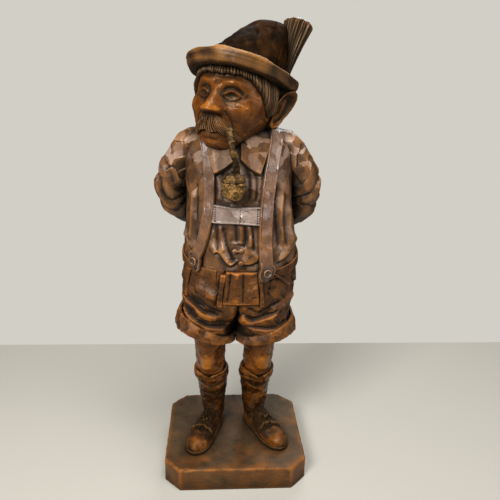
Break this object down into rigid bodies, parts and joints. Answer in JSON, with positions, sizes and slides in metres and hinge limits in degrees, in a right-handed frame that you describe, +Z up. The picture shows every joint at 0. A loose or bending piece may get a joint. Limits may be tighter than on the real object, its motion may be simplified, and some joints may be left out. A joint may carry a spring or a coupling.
{
  "type": "wax figurine",
  "caption": "Tabletop wax figurine of a moustached Alpine countryman with hat, pipe, braces and short breeches, hands behind the back, standing on a block plinth with cut corners.",
  "frame": {"origin": "middle of the plinth's underside", "axes": "+Z up, -Y the way the plinth's long front face and the figure's chest face, +X to the figure's left"},
  "size_m": [0.1651, 0.133, 0.454],
  "materials": {
    "skin_wax": "honey-brown tooled wax, satin, rubbed bright on raised places, dark in hollows",
    "shirt_wax": "brown tooled wax with dark folds, satin",
    "breeches_wax": "red-brown tooled wax with dark folds, satin",
    "strap_wax": "mauve-brown smooth wax, satin, worn at the edges",
    "sock_wax": "dark brown pitted wax, satin",
    "shoe_wax": "orange-brown tooled wax, rubbed toe caps, satin",
    "hat_wax": "dark umber tooled wax, orange-brown rubbed rim, satin",
    "hair_wax": "dark brown wax with cut grooves",
    "pipe_wax": "golden-brown pitted wax, satin",
    "plinth_wax": "dark grey-brown wax, matte top, worn orange-brown edges",
    "rod_steel": "plain drawn steel",
    "dowel_wood": "plain pale wood"
  },
  "bodies": {
    "root": {"plinth": "plinth_wax", "right_sole": "shoe_wax", "right_shoe": "shoe_wax", "right_shoe_tongue": "shoe_wax", "left_sole": "shoe_wax", "left_shoe": "shoe_wax", "left_shoe_tongue": "shoe_wax", "right_leg_rod": "rod_steel", "right_sock": "sock_wax", "right_sock_cuff": "sock_wax", "right_knee": "skin_wax", "left_leg_rod": "rod_steel", "left_sock": "sock_wax", "left_sock_cuff": "sock_wax", "left_knee": "skin_wax", "breeches": "breeches_wax", "right_trouser_cuff": "breeches_wax", "left_trouser_cuff": "breeches_wax", "hat_brim": "hat_wax", "hat_crown": "hat_wax", "hat_brush": "hair_wax", "brush_knot": "hat_wax", "head": "skin_wax", "hat_dowel": "dowel_wood", "moustache": "hair_wax", "hair": "hair_wax", "right_ear": "skin_wax", "left_ear": "skin_wax", "shirt_body": "shirt_wax", "neck_dowel": "dowel_wood", "waistband": "breeches_wax", "right_brace": "strap_wax", "left_brace": "strap_wax", "drop_front": "breeches_wax", "right_flap_welt": "breeches_wax", "right_pocket_welt": "breeches_wax", "left_flap_welt": "breeches_wax", "left_pocket_welt": "breeches_wax", "chest_strap": "strap_wax", "right_brace_button": "strap_wax", "left_brace_button": "strap_wax", "shirt_tie": "shirt_wax", "waist_stud": "shirt_wax", "right_collar": "shirt_wax", "left_collar": "shirt_wax", "right_sleeve": "shirt_wax", "right_arm_dowel": "dowel_wood", "left_sleeve": "shirt_wax", "left_arm_dowel": "dowel_wood", "pipe_stem": "pipe_wax", "pipe_bowl": "pipe_wax", "pipe_lid": "hat_wax", "left_hand": "skin_wax", "right_hand": "skin_wax"}
  },
  "joints": []
}
